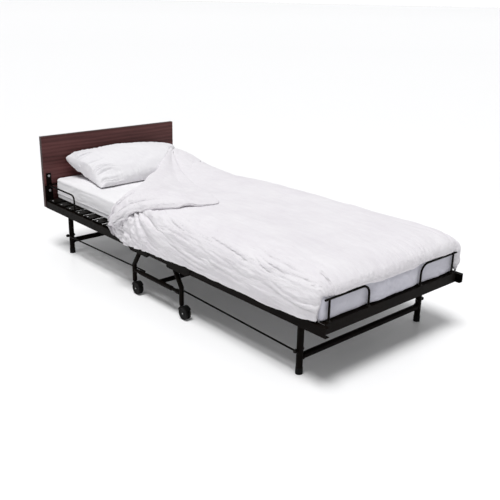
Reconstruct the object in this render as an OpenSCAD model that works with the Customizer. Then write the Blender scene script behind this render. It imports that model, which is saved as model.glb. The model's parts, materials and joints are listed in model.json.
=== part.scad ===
// Folding rollaway bed: two deck halves fold up about a wheeled centre frame.
// Millimetres. +X is across the bed, +Y points to the headboard, +Z is up.
// The origin is on the floor under the middle of the bed.

/* [Overall] */
// Width of the headboard
bed_w = 800; // [780:10:860]
// Length from the rail ends at the foot to the back of the headboard
bed_l = 1952; // [1920:4:2000]
// Height of the top of the side rails above the floor
rail_top = 246; // [242:1:252]
// Height of the headboard board
headboard_h = 361; // [320:1:400]
// Thickness of the headboard board
headboard_t = 20; // [16:1:22]

/* [Fold] */
// Distance along the bed between the two fold pivots
pivot_gap = 280; // [278:2:290]
// How far the middle of the fold sits from the bed's middle, towards the foot
fold_offset = 27; // [20:1:34]

/* [Frame] */
// Height of the side rails
rail_h = 36; // [34:1:38]
// Depth of the side rails' channel section
rail_d = 20; // [18:1:20]
// Thickness of the rolled sheet of the rails
sheet_t = 2; // [1.5:0.5:2.5]
// Width of a slat
slat_w = 58; // [50:1:60]
// Depth of a slat's channel section
slat_t = 9; // [6:1:9]
// Number of slats on the head half
head_slat_count = 10; // [9:1:10]
// Number of slats on the foot half
foot_slat_count = 9; // [8:1:9]

/* [Legs and links] */
// Diameter of the end legs and their crossbars
leg_d = 25; // [24:0.5:25]
// Distance of each end leg from the bed's centre line
leg_x = 347; // [340:1:347]
// Diameter of the link rods
rod_d = 7; // [6:0.5:7]
// Diameter of the wire of the mattress guards
wire_d = 8; // [6:0.5:8]

/* [Caster frame] */
// Diameter of the caster frame's tubes
caster_tube_d = 20; // [18:0.5:20]
// Diameter of the caster wheels
wheel_d = 56; // [50:1:56]
// Distance of a wheel's axle behind its swivel axis
trail = 22; // [20:1:24]

/* [Bedding] */
// Width of the mattress
mattress_w = 690; // [640:10:690]
// Thickness of the mattress
mattress_t = 110; // [90:1:110]
// Thickness of the quilt where it is pressed flat, over the fold
quilt_t = 12; // [8:1:12]
// Thickness of the quilt where it lies full
quilt_loft = 48; // [30:2:48]
// Thickness of the pillow where it is highest
pillow_t = 130; // [100:1:130]

/* [Hidden] */
$fn = 48;
slat_sheet_t = 1.5;   // sheet thickness of a slat
EPS = 1;              // how far a cutter runs past the face it cuts
BODY_GAP = 0.5;       // gap between two bodies that lie side by side
FIT = 0.1;            // radial clearance of a pin that turns in its hole
FRAME = "#2b2724";
STEEL = "#b9bcc0";
RUBBER = "#151515";
BOARD = "#5a2f2b";
LINEN = "#f4f3f5";

// Lengthways places, from the bed's middle
half_l = bed_l / 2;
fold_y = -fold_offset;
head_pivot_y = fold_y + pivot_gap / 2;
foot_pivot_y = fold_y - pivot_gap / 2;
board_y = half_l - headboard_t;          // front face of the headboard
plate_t = 4;
head_rail_end = board_y - plate_t;
cross_d = 30;                            // depth of the two end cross rails
foot_overhang = 20;                      // the side rails run on past the foot cross rail
foot_rail_y = foot_overhang - half_l;    // outer face of the foot cross rail
foot_cross_h = rail_h + 3;
head_leg_y = 802;
foot_leg_y = -818;

// Heights
rail_z = rail_top - rail_h;
pivot_drop = 8;
pivot_z = rail_top - pivot_drop;
leg_pivot_z = rail_top - 24;
link_z = 110;                            // where the links turn on the side bars
link_bolt_z = leg_pivot_z - (pivot_z - link_z);
crossbar_z = 66;
slat_top = rail_top + slat_t;
bed_z = slat_top + 1;                    // underside of the mattress
mattress_top = bed_z + mattress_t;
quilt_z = mattress_top + 1;

// Across the bed
bracket_x = bed_w / 2 + 1;               // outer face of the hinge brackets
bracket_t = 3;
centre_rail_x = bracket_x - bracket_t;
deck_rail_x = centre_rail_x - BODY_GAP;  // outer face of the deck's side rails
flange_x = deck_rail_x - rail_d;
caster_x = centre_rail_x - caster_tube_d / 2;
link_x = flange_x - 13;
link_t = rod_d;

// Caster frame
caster_mid_y = -8;
caster_foot_dy = 172;                    // half the distance between the caster legs' feet
caster_top_dy = 125;                     // and between their tops
caster_leg_z = 60;
caster_bend_z = 134;
bracket_flange_t = 4;
leg_top_z = rail_z - 0.3 - bracket_flange_t;
bend_angle = atan((caster_foot_dy - caster_top_dy) / (leg_top_z - caster_bend_z));
bar_z = 108;
tube_wall = 1.5;
stem_d = 8;

// Quilt and mattress
quilt_x = bracket_x + 4;                 // inner face of the quilt's sides
mattress_end = head_rail_end - 12;
mattress_gap = 20;                       // from a fold pivot to the mattress half
quilt_side_t = 14;
quilt_hem_z = rail_top - 10;

// The part's left side is the -X side
module both_sides() {
    children();
    mirror([1, 0, 0]) children();
}
module right() { mirror([1, 0, 0]) children(); }

// A rod along X, from x0 to x1
module rod_x(r, x0, x1) { translate([x0, 0, 0]) rotate([0, 90, 0]) cylinder(r = r, h = x1 - x0); }
// A rod along Y, from y0 to y1
module rod_y(r, y0, y1) { translate([0, y0, 0]) rotate([-90, 0, 0]) cylinder(r = r, h = y1 - y0); }
module hex_x(r, x0, x1) { translate([x0, 0, 0]) rotate([0, 90, 0]) cylinder(r = r, h = x1 - x0, $fn = 6); }
module tube(r, h) {
    difference() {
        cylinder(r = r, h = h);
        translate([0, 0, -EPS]) cylinder(r = r - tube_wall, h = h + 2 * EPS);
    }
}

// A channel along Y with its web at x = 0 and its flanges towards +X
module channel(l, h, d) {
    difference() {
        cube([d, l, h]);
        translate([sheet_t, -EPS, sheet_t]) cube([d, l + 2 * EPS, h - 2 * sheet_t]);
    }
}

// A quarter or part bend in the XZ plane: starts at the origin going up and leans to -X
module bend(r, bend_r, angle) {
    translate([-bend_r, 0, 0]) rotate([90, 0, 0])
        rotate_extrude(angle = angle) translate([bend_r, 0]) circle(r = r);
}

// ---- Centre frame ----

// One bent leg in its own plane: foot at x = 0, top leaning to -X, with a rounded elbow. Its foot
// is bored for the caster's socket; the bore stops below the elbow.
module caster_leg() {
    r = caster_tube_d / 2;
    difference() {
        union() {
            translate([0, 0, caster_leg_z]) cylinder(r = r, h = caster_bend_z - caster_leg_z);
            translate([0, 0, caster_bend_z]) {
                sphere(r = r + 0.25);
                rotate([0, -bend_angle, 0]) cylinder(r = r, h = 120);
            }
        }
        translate([0, 0, caster_leg_z - EPS]) cylinder(r = r - tube_wall, h = 51);
        translate([-200, -50, leg_top_z]) cube([250, 100, 150]);
    }
}
module at_caster_legs() {
    for (side = [-1, 1], end = [-1, 1])
        translate([side * caster_x, caster_mid_y + end * caster_foot_dy, 0])
            rotate([0, 0, end > 0 ? 90 : -90]) children();
}
module caster_legs() { color(FRAME) at_caster_legs() caster_leg(); }

// Sleeve with a thinner spigot at each end and a collar by the foot-end leg
module side_bar() {
    r = caster_tube_d / 2;
    foot_face = caster_mid_y - caster_foot_dy;
    head_face = caster_mid_y + caster_foot_dy;
    translate([-caster_x, 0, 0]) difference() {
        translate([0, 0, bar_z]) difference() {
            union() {
                rod_y(r, foot_pivot_y + 54, head_pivot_y + 8);
                rod_y(r * 0.75, foot_face, head_face);
                rod_y(r, foot_face + 8, foot_face + 33);
            }
            rod_y(r * 0.55, foot_face - EPS, head_face + EPS);
        }
        for (y = [foot_face, head_face]) translate([0, y, 0]) cylinder(r = r, h = 2 * bar_z);
        for (y = [foot_pivot_y, head_pivot_y])
            translate([0, y, link_z]) rod_x(rod_d / 2 + FIT, 0, r + EPS);
    }
}
module side_bars() { color(FRAME) both_sides() side_bar(); }

module transverse_bar() {
    color(FRAME) difference() {
        translate([0, fold_y - 3, bar_z + 4]) rod_x(caster_tube_d / 2, -caster_x, caster_x);
        translate([0, fold_y - 3, bar_z + 4])
            rod_x(caster_tube_d / 2 - tube_wall, -caster_x - EPS, caster_x + EPS);
        both_sides() translate([-caster_x, 0, bar_z]) rod_y(caster_tube_d / 2, -200, 200);
    }
}

centre_rail_l = pivot_gap - 72;
module centre_rails() {
    color(FRAME) both_sides()
        translate([-centre_rail_x, fold_y - centre_rail_l / 2, rail_z])
            channel(centre_rail_l, rail_h, rail_d);
}

// Side plate with a ledge under the rail, which stops the deck half when it lies level
module hinge_bracket() {
    inner = 72;
    outer = 85;
    foot_drop = 10;
    difference() {
        union() {
            translate([-bracket_x, 0, 0]) rotate([90, 0, 90]) linear_extrude(bracket_t) polygon([
                [-inner, rail_z - foot_drop + 4], [-inner, rail_top - 2], [outer, rail_top - 2],
                [outer, rail_z + 12], [outer - 24, rail_z - foot_drop], [-inner + 8, rail_z - foot_drop]]);
            translate([-centre_rail_x, -inner, leg_top_z])
                cube([rail_d, inner + outer - 26, bracket_flange_t]);
        }
        translate([-bracket_x, 0, pivot_z]) rod_x(4, -EPS, bracket_t + EPS);
    }
}
module hinge_brackets() {
    color(FRAME) both_sides() {
        translate([0, head_pivot_y, 0]) hinge_bracket();
        translate([0, foot_pivot_y, 0]) mirror([0, 1, 0]) hinge_bracket();
    }
}
module fold_pivots() {
    color(STEEL) both_sides() for (y = [head_pivot_y, foot_pivot_y])
        translate([-bracket_x, y, pivot_z]) {
            rod_x(7, -2.5, 0);
            rod_x(4, -EPS, bracket_t + 8);
            rod_x(5.5, bracket_t + 4, bracket_t + 8);
        }
}
// A slat is a pressed steel channel, open below.
module slat_at(y, x_half) {
    translate([-x_half, y - slat_w / 2, rail_top]) difference() {
        cube([2 * x_half, slat_w, slat_t]);
        translate([-EPS, slat_sheet_t, -EPS])
            cube([2 * x_half + 2 * EPS, slat_w - 2 * slat_sheet_t, slat_t - slat_sheet_t + EPS]);
    }
}
slat_x = flange_x + rail_d - 7;
module centre_slats() { color(FRAME) for (dy = [-85, 0, 85]) slat_at(fold_y + dy, slat_x); }

// Plug in the foot of each caster leg that holds the caster's stem
module caster_sockets() {
    color(RUBBER) at_caster_legs() difference() {
        union() {
            translate([0, 0, caster_leg_z - 2]) cylinder(r = caster_tube_d / 2, h = 2);
            translate([0, 0, caster_leg_z - EPS]) cylinder(r = caster_tube_d / 2 - tube_wall, h = 31);
        }
        translate([0, 0, caster_leg_z - 3]) cylinder(r = stem_d / 2 + FIT, h = 40);
    }
}

// ---- Casters: stem, hood and central web, an axle, and a twin-tread wheel ----
wheel_r = wheel_d / 2;
wheel_t = 10;
web_t = 5;
hood_gap = 1;
module at_caster(side, end) {
    translate([side * caster_x, caster_mid_y + end * caster_foot_dy, 0]) children();
}
module caster_fork() {
    hood_w = 2 * wheel_t + web_t + 2;
    color(RUBBER) difference() {
        union() {
            translate([0, 0, wheel_r + 14]) cylinder(r = stem_d / 2, h = caster_leg_z - wheel_r + 12);
            translate([0, 0, wheel_r + 4]) cylinder(r = 8, h = 22);
            translate([0, -trail, wheel_r]) {
                rod_x(wheel_r - 6, -web_t / 2, web_t / 2);
                rotate([0, 90, 0]) rotate([0, 0, 108]) translate([0, 0, -hood_w / 2])
                    rotate_extrude(angle = 124)
                        translate([wheel_r + hood_gap, 0]) square([2, hood_w]);
                translate([-web_t / 2, 0, 0]) cube([web_t, trail, wheel_r - 4]);
                translate([-web_t / 2, -wheel_r * 0.4, 0]) cube([web_t, 18, wheel_r + 1.5]);
            }
        }
        translate([0, -trail, wheel_r]) {
            rod_x(3, -web_t, web_t);
            for (s = [-1, 1]) translate([s * (web_t / 2 + hood_gap / 2 + wheel_t / 2), 0, 0])
                rod_x(wheel_r + hood_gap, -wheel_t / 2 - hood_gap / 2, wheel_t / 2 + 3);
        }
    }
}
module caster_axle() {
    color(STEEL) translate([0, -trail, wheel_r]) rod_x(3, -web_t / 2 - wheel_t, web_t / 2 + wheel_t);
}
// Two treads with a hollow face and rounded shoulders
module caster_wheel() {
    color(RUBBER) translate([0, -trail, wheel_r]) for (s = [0, 180])
        rotate([0, 90, s]) translate([0, 0, web_t / 2 + hood_gap / 2]) rotate_extrude() polygon([
            [3 + FIT, 0], [wheel_r - 1.5, 0], [wheel_r, 1.5], [wheel_r, wheel_t - 3.5],
            [wheel_r - 2, wheel_t - 1], [wheel_r - 5, wheel_t - 0.5], [wheel_r - 7, wheel_t - 3],
            [9, wheel_t - 3], [8, wheel_t - 0.5], [3 + FIT, wheel_t - 0.5]]);
}
module caster_head_left_fork() { at_caster(-1, 1) caster_fork(); }
module caster_head_left_axle() { at_caster(-1, 1) caster_axle(); }
module caster_head_left_wheel() { at_caster(-1, 1) caster_wheel(); }
module caster_head_right_fork() { at_caster(1, 1) caster_fork(); }
module caster_head_right_axle() { at_caster(1, 1) caster_axle(); }
module caster_head_right_wheel() { at_caster(1, 1) caster_wheel(); }
module caster_foot_left_fork() { at_caster(-1, -1) caster_fork(); }
module caster_foot_left_axle() { at_caster(-1, -1) caster_axle(); }
module caster_foot_left_wheel() { at_caster(-1, -1) caster_wheel(); }
module caster_foot_right_fork() { at_caster(1, -1) caster_fork(); }
module caster_foot_right_axle() { at_caster(1, -1) caster_axle(); }
module caster_foot_right_wheel() { at_caster(1, -1) caster_wheel(); }

// ---- Deck halves ----

// Left side rail from y = 0 (the pivot) to y = l, with the pivot's ear
module deck_rail(l) {
    color(FRAME) translate([-deck_rail_x, 0, rail_z]) difference() {
        union() {
            channel(l, rail_h, rail_d);
            intersection() {
                translate([0, 0, rail_h - pivot_drop]) rod_x(12, 0, sheet_t);
                translate([-EPS, -13, 0]) cube([rail_d, 26, rail_h]);
            }
        }
        translate([0, 0, rail_h - pivot_drop]) rod_x(4 + FIT, -EPS, sheet_t + EPS);
    }
}
module head_rail() { translate([0, head_pivot_y, 0]) deck_rail(head_rail_end - head_pivot_y); }
module foot_rail() { translate([0, foot_pivot_y, 0]) mirror([0, 1, 0]) deck_rail(half_l + foot_pivot_y); }
module head_rail_left() { head_rail(); }
module head_rail_right() { right() head_rail(); }
module foot_rail_left() { foot_rail(); }
module foot_rail_right() { right() foot_rail(); }

// End cross rail: a channel across the bed with its web at y = 0 and its flanges towards +Y
module cross_rail(h) {
    difference() {
        translate([-flange_x, 0, 0]) cube([2 * flange_x, cross_d, h]);
        translate([-flange_x - EPS, sheet_t, sheet_t]) cube([2 * (flange_x + EPS), cross_d, h - 2 * sheet_t]);
    }
}
module head_cross_rail() {
    color(FRAME) translate([0, head_rail_end, rail_z]) mirror([0, 1, 0]) difference() {
        cross_rail(rail_h);
        both_sides() translate([-guard_in_x, head_rail_end - guard_back_y, rail_h / 2])
            cylinder(r = wire_d / 2, h = rail_h);
    }
}
module foot_cross_rail() {
    color(FRAME) translate([0, foot_rail_y, rail_z]) difference() {
        cross_rail(foot_cross_h);
        both_sides() for (x = [foot_guard_out_x, foot_guard_in_x])
            translate([-x, foot_guard_dy, foot_cross_h / 2]) cylinder(r = wire_d / 2, h = foot_cross_h);
    }
}

first_slat = 17;                         // from a fold pivot to the middle of the first slat
head_slat_run = head_rail_end - 47 - head_pivot_y - first_slat;
foot_slat_run = foot_pivot_y - foot_rail_y - 66 - first_slat;
module deck_slats(count, run) {
    color(FRAME) for (i = [0 : count - 1]) slat_at(first_slat + i * run / (count - 1), slat_x);
}
module head_slats() { translate([0, head_pivot_y, 0]) deck_slats(head_slat_count, head_slat_run); }
module foot_slats() {
    translate([0, foot_pivot_y, 0]) mirror([0, 1, 0]) deck_slats(foot_slat_count, foot_slat_run);
}

// Corner guard at the head: a wire up from the side rail between two slats, along the mattress's
// side, round its corner and down to the cross rail
guard_top = 328;
guard_side_x = deck_rail_x - rail_d + 4;
guard_pitch = head_slat_run / (head_slat_count - 1);
guard_gap = round((700 - head_pivot_y - first_slat) / guard_pitch - 0.5);
guard_front_y = head_pivot_y + first_slat + (guard_gap + 0.5) * guard_pitch;
guard_back_y = head_rail_end - 4.5;
guard_in_x = 300;
guard_corner_r = 16;
guard_bend_r = 26;
module head_guard() {
    r = wire_d / 2;
    color(FRAME) {
        translate([-guard_side_x, guard_front_y, rail_top])
            cylinder(r = r, h = guard_top - guard_bend_r - rail_top);
        translate([-guard_side_x, guard_front_y, guard_top - guard_bend_r])
            rotate([0, 0, -90]) bend(r, guard_bend_r, 90);
        translate([-guard_side_x, 0, guard_top])
            rod_y(r, guard_front_y + guard_bend_r, guard_back_y - guard_corner_r);
        translate([guard_corner_r - guard_side_x, guard_back_y - guard_corner_r, guard_top])
            rotate([0, 0, 90]) rotate_extrude(angle = 90) translate([guard_corner_r, 0]) circle(r = r);
        translate([0, guard_back_y, guard_top])
            rod_x(r, guard_corner_r - guard_side_x, -guard_in_x - guard_corner_r);
        translate([-guard_in_x, guard_back_y, guard_top - guard_corner_r]) bend(r, guard_corner_r, 90);
        translate([-guard_in_x, guard_back_y, rail_top - 8])
            cylinder(r = r, h = guard_top - guard_corner_r - rail_top + 8);
    }
}
module head_guard_left() { head_guard(); }
module head_guard_right() { right() head_guard(); }

// Corner guard at the foot: a hoop that stands on the cross rail
foot_guard_top = 332;
foot_guard_out_x = 355;
foot_guard_in_x = 150;
foot_guard_tip_x = 376;
foot_guard_r = 36;
foot_guard_dy = 8;
foot_guard_y = foot_rail_y + foot_guard_dy;
foot_post_z = rail_z + foot_cross_h - 14;
module foot_guard() {
    r = wire_d / 2;
    color(FRAME) translate([0, foot_guard_y, 0]) {
        translate([-foot_guard_out_x, 0, foot_post_z]) cylinder(r = r, h = foot_guard_top - foot_post_z);
        translate([0, 0, foot_guard_top]) rod_x(r, -foot_guard_tip_x, -foot_guard_in_x - foot_guard_r);
        translate([-foot_guard_in_x, 0, foot_guard_top - foot_guard_r]) bend(r, foot_guard_r, 90);
        translate([-foot_guard_in_x, 0, foot_post_z])
            cylinder(r = r, h = foot_guard_top - foot_guard_r - foot_post_z);
    }
}
module foot_guard_left() { foot_guard(); }
module foot_guard_right() { right() foot_guard(); }
module foot_guard_nuts() {
    color(STEEL) both_sides() for (x = [foot_guard_out_x, foot_guard_in_x])
        translate([-x, foot_guard_y, rail_z + foot_cross_h]) difference() {
            cylinder(r = 8, h = 5, $fn = 6);
            translate([0, 0, -EPS]) cylinder(r = wire_d / 2, h = 7);
        }
}

// ---- Headboard ----
board_z = rail_z + 3;
strap_x = 375;
bolt_heights = [375, 300];
module headboard() {
    color(BOARD) difference() {
        translate([-bed_w / 2, board_y, board_z]) cube([bed_w, headboard_t, headboard_h]);
        both_sides() for (z = bolt_heights) translate([-strap_x, 0, z]) rod_y(3, board_y - EPS, board_y + 12);
    }
}
module headboard_brackets() {
    color(FRAME) both_sides() difference() {
        union() {
            translate([-deck_rail_x, head_rail_end, rail_z]) cube([40, plate_t, 325 - rail_z]);
            translate([-strap_x - 13, head_rail_end, 325 - EPS]) cube([26, plate_t, 64]);
        }
        for (z = bolt_heights) translate([-strap_x, 0, z]) rod_y(3, head_rail_end - EPS, board_y + EPS);
    }
}
module headboard_bolts() {
    color(STEEL) both_sides() for (z = bolt_heights) translate([-strap_x, 0, z]) {
        rod_y(3, head_rail_end - EPS, board_y + 12);
        rod_y(6, head_rail_end - 3, head_rail_end);
    }
}

// ---- End legs ----
leg_bracket_x = leg_x + leg_d / 2 + 2;   // inner face of the plates that the legs turn on
module leg_bracket() {
    difference() {
        union() {
            translate([-leg_bracket_x - plate_t, -18, leg_pivot_z - 14])
                cube([plate_t, 36, rail_top - leg_pivot_z + 12]);
            translate([sheet_t - deck_rail_x, -18, rail_top - sheet_t - 3])
                cube([deck_rail_x - sheet_t - leg_bracket_x, 36, 3]);
        }
        translate([-leg_bracket_x, 0, leg_pivot_z]) rod_x(4, -plate_t - EPS, EPS);
    }
}
module leg_pivot() {
    translate([0, 0, leg_pivot_z]) {
        rod_x(4, -leg_bracket_x - plate_t - EPS, -leg_x + leg_d / 2 + 1);
        hex_x(7, -leg_bracket_x - plate_t - 5, -leg_bracket_x - plate_t);
        rod_x(7, -leg_bracket_x, -leg_bracket_x + 1.4);
        rod_x(7, -leg_x + leg_d / 2 + 0.5, -leg_x + leg_d / 2 + 4);
    }
}
module head_leg_brackets() { color(FRAME) both_sides() translate([0, head_leg_y, 0]) leg_bracket(); }
module foot_leg_brackets() { color(FRAME) both_sides() translate([0, foot_leg_y, 0]) leg_bracket(); }
module head_leg_pivots() { color(STEEL) both_sides() translate([0, head_leg_y, 0]) leg_pivot(); }
module foot_leg_pivots() { color(STEEL) both_sides() translate([0, foot_leg_y, 0]) leg_pivot(); }

leg_foot_z = 5;
link_bolt_r = 3;
module end_leg() {
    color(FRAME) translate([-leg_x, 0, 0]) difference() {
        translate([0, 0, leg_foot_z]) tube(leg_d / 2, leg_pivot_z + 12 - leg_foot_z);
        translate([0, 0, leg_pivot_z]) rod_x(4 + FIT, -leg_d, leg_d);
        translate([0, 0, link_bolt_z]) rod_x(link_bolt_r, -leg_d, leg_d);
    }
}
module crossbar() {
    color(FRAME) difference() {
        translate([0, 0, crossbar_z]) rod_x(leg_d / 2, -leg_x, leg_x);
        translate([0, 0, crossbar_z]) rod_x(leg_d / 2 - tube_wall, -leg_x - EPS, leg_x + EPS);
        both_sides() translate([-leg_x, 0, 0]) cylinder(r = leg_d / 2, h = 2 * crossbar_z);
    }
}
foot_wall = 1.2;
foot_h = 24;
module leg_foot() {
    color(RUBBER) translate([-leg_x, 0, 0]) difference() {
        cylinder(r = leg_d / 2 + foot_wall, h = foot_h);
        translate([0, 0, leg_foot_z]) cylinder(r = leg_d / 2, h = foot_h);
    }
}
module link_bolt() {
    color(STEEL) translate([0, 0, link_bolt_z]) {
        rod_x(link_bolt_r, -link_x - link_t - 1.5, -leg_x + leg_d / 2 + 1);
        rod_x(6, -link_x - link_t - 4, -link_x - link_t - 1);
        hex_x(6, -leg_x + leg_d / 2, -leg_x + leg_d / 2 + 4);
    }
}
module head_leg_left() { translate([0, head_leg_y, 0]) end_leg(); }
module head_leg_right() { right() head_leg_left(); }
module head_crossbar() { translate([0, head_leg_y, 0]) crossbar(); }
module head_leg_feet() { translate([0, head_leg_y, 0]) both_sides() leg_foot(); }
module head_link_bolts() { translate([0, head_leg_y, 0]) both_sides() link_bolt(); }
module foot_leg_left() { translate([0, foot_leg_y, 0]) end_leg(); }
module foot_leg_right() { right() foot_leg_left(); }
module foot_crossbar() { translate([0, foot_leg_y, 0]) crossbar(); }
module foot_leg_feet() { translate([0, foot_leg_y, 0]) both_sides() leg_foot(); }
module foot_link_bolts() { translate([0, foot_leg_y, 0]) both_sides() link_bolt(); }

// Link rod between the side bar and a leg: a hooked end that turns in the bar, and an eye
// with play round the leg's bolt
link_play = 0.5;
module link(pivot_y, leg_y) {
    r = rod_d / 2;
    dy = leg_y - pivot_y;
    dz = link_bolt_z - link_z;
    l = norm([dy, dz]);
    lean = atan2(dz, dy);
    color(FRAME) difference() {
        union() {
            translate([-link_x - r, pivot_y, link_z]) {
                rotate([lean, 0, 0]) rod_y(r, 0, l);
                rod_x(r, -(flange_x - link_x - r) - 6, 0);
                sphere(r = r);
            }
            translate([-link_x - link_t, leg_y, link_bolt_z]) rod_x(7.5, 0, link_t);
        }
        translate([-link_x, leg_y, link_bolt_z]) rod_x(link_bolt_r + link_play, -link_t - EPS, EPS);
    }
}
module head_links() { both_sides() link(head_pivot_y, head_leg_y); }
module foot_links() {
    both_sides() mirror([0, 1, 0]) link(-foot_pivot_y, -foot_leg_y);
}

// ---- Bedding: plain solids ----
mattress_r = 18;
module mattress_block(y0, y1) {
    color(LINEN) translate([0, y1, bed_z]) rotate([90, 0, 0]) linear_extrude(y1 - y0)
        union() {
            translate([-mattress_w / 2, mattress_r]) square([mattress_w, mattress_t - 2 * mattress_r]);
            translate([mattress_r - mattress_w / 2, 0]) square([mattress_w - 2 * mattress_r, mattress_t]);
            for (x = [-1, 1], z = [mattress_r, mattress_t - mattress_r])
                translate([x * (mattress_w / 2 - mattress_r), z]) circle(r = mattress_r);
        }
}
mattress_head_y = head_pivot_y + mattress_gap;
mattress_foot_y = foot_pivot_y - mattress_gap;
module mattress_head() { mattress_block(mattress_head_y, mattress_end); }
module mattress_foot() { mattress_block(-mattress_end, mattress_foot_y); }
module mattress_middle() { mattress_block(mattress_foot_y + BODY_GAP, mattress_head_y - BODY_GAP); }

// Quilt as a thin shell. tops lists [y, thickness] along its top, and its sides hang outside the
// rails, the left one up to left_y1.
module quilt_block(tops, left_y1) {
    y0 = tops[0][0];
    y1 = tops[len(tops) - 1][0];
    color(LINEN) difference() {
        translate([-quilt_x - quilt_side_t, 0, 0]) rotate([90, 0, 90])
            linear_extrude(2 * (quilt_x + quilt_side_t)) polygon(concat(
                [[y1, quilt_hem_z], [y0, quilt_hem_z]], [for (p = tops) [p[0], quilt_z + p[1]]]));
        translate([-quilt_x, y0 - EPS, quilt_hem_z - EPS])
            cube([2 * quilt_x, y1 - y0 + 2 * EPS, quilt_z - quilt_hem_z + EPS]);
        if (left_y1 < y1)
            translate([-quilt_x - quilt_side_t - EPS, left_y1, quilt_hem_z - EPS])
                cube([quilt_side_t + EPS, y1 - left_y1 + EPS, quilt_z - quilt_hem_z + EPS]);
    }
}
quilt_head_end = 620;
quilt_fold_y = 300;                      // the left side is turned back from here to the head
loft_run = 260;                          // the quilt fills out over this length from the fold
module quilt_head() {
    full_y = mattress_head_y + loft_run;
    quilt_block([[mattress_head_y, quilt_t], [full_y, quilt_loft], [quilt_head_end, quilt_loft]],
        quilt_fold_y);
}
module quilt_foot() {
    full_y = mattress_foot_y - loft_run;
    quilt_block([[-mattress_end, quilt_loft], [full_y, quilt_loft], [mattress_foot_y, quilt_t]],
        mattress_foot_y);
}
module quilt_middle() {
    quilt_block([[mattress_foot_y + BODY_GAP, quilt_t], [mattress_head_y - BODY_GAP, quilt_t]],
        mattress_head_y);
}

pillow_l = 628;
pillow_d = 300;
pillow_x = 34;                           // the pillow lies this far to the right
pillow_y = mattress_end - 8 - pillow_d / 2;
module pillow() {
    edge_r = 18;
    color(LINEN) translate([pillow_x, pillow_y, quilt_z]) hull() {
        for (x = [-1, 1], y = [-1, 1])
            translate([x * (pillow_l / 2 - edge_r), y * (pillow_d / 2 - edge_r), edge_r + (y > 0 ? 26 : 0)])
                sphere(r = edge_r, $fn = 24);
        for (x = [-1, 1])
            translate([x * pillow_l / 4, pillow_d / 8, pillow_t - 50]) sphere(r = 50, $fn = 32);
        translate([0, 0, edge_r]) cube([pillow_l * 0.8, pillow_d * 0.8, 2 * edge_r], center = true);
    }
}

caster_legs();
side_bars();
transverse_bar();
centre_rails();
hinge_brackets();
fold_pivots();
centre_slats();
caster_sockets();
mattress_middle();
quilt_middle();
head_rail_left();
head_rail_right();
head_cross_rail();
head_slats();
head_guard_left();
head_guard_right();
headboard();
headboard_brackets();
headboard_bolts();
head_leg_brackets();
head_leg_pivots();
mattress_head();
pillow();
quilt_head();
foot_rail_left();
foot_rail_right();
foot_cross_rail();
foot_slats();
foot_guard_left();
foot_guard_right();
foot_guard_nuts();
foot_leg_brackets();
foot_leg_pivots();
mattress_foot();
quilt_foot();
head_leg_left();
head_leg_right();
head_crossbar();
head_leg_feet();
head_link_bolts();
foot_leg_left();
foot_leg_right();
foot_crossbar();
foot_leg_feet();
foot_link_bolts();
head_links();
foot_links();
caster_head_left_fork();
caster_head_left_axle();
caster_head_left_wheel();
caster_head_right_fork();
caster_head_right_axle();
caster_head_right_wheel();
caster_foot_left_fork();
caster_foot_left_axle();
caster_foot_left_wheel();
caster_foot_right_fork();
caster_foot_right_axle();
caster_foot_right_wheel();
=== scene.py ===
# Looks of the folding rollaway bed: bedding, board and finishes, floor, light and camera.
import json
import math

import bmesh
import bpy
import numpy as np
from mathutils import Matrix, Vector


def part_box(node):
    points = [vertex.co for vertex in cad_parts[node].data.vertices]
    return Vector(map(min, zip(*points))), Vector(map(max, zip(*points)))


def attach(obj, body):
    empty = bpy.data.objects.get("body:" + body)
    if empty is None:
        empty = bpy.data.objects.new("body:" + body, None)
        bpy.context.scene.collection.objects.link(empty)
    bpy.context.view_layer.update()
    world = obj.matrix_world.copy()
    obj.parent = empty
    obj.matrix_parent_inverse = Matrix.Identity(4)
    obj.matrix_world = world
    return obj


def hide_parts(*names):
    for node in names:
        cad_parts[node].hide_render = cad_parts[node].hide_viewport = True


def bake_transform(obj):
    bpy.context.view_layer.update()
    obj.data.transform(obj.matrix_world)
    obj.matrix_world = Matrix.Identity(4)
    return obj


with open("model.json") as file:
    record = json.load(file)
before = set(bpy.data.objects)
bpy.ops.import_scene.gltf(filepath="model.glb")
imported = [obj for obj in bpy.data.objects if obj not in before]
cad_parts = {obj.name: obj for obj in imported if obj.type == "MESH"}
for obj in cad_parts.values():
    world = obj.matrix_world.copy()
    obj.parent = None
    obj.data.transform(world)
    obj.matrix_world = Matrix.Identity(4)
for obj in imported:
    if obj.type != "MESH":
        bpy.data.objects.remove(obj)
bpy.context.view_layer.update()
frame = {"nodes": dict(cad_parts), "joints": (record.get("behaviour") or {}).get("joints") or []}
NODES = frame["nodes"]
JOINTS = {j["name"]: j for j in frame["joints"]}

# ---------------------------------------------------------------- small tools


def smoothstep(a, b, x):
    """0 at a, 1 at b, and a smooth rise between them; works on arrays."""
    t = np.clip((np.asarray(x, float) - a) / (b - a), 0.0, 1.0)
    return t * t * (3 - 2 * t)


def bell(centre, width, x):
    """A smooth hill of height 1 at centre."""
    return np.exp(-(((np.asarray(x, float) - centre) / width) ** 2))


def mix(a, b, w):
    """a where w is 0, b where w is 1."""
    return a + (b - a) * w


def through(points, x):
    """A smooth curve through (x, value) points, read at x."""
    xs, ys = np.array(points, float).T
    x = np.clip(np.asarray(x, float), xs[0], xs[-1])
    slope = np.gradient(ys, xs)
    i = np.clip(np.searchsorted(xs, x, side="right") - 1, 0, len(xs) - 2)
    w = xs[i + 1] - xs[i]
    t = (x - xs[i]) / w
    a = ys[i] * (2 * t**3 - 3 * t**2 + 1) + ys[i + 1] * (3 * t**2 - 2 * t**3)
    return a + w * (slope[i] * (t**3 - 2 * t**2 + t) + slope[i + 1] * (t**3 - t**2))


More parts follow.
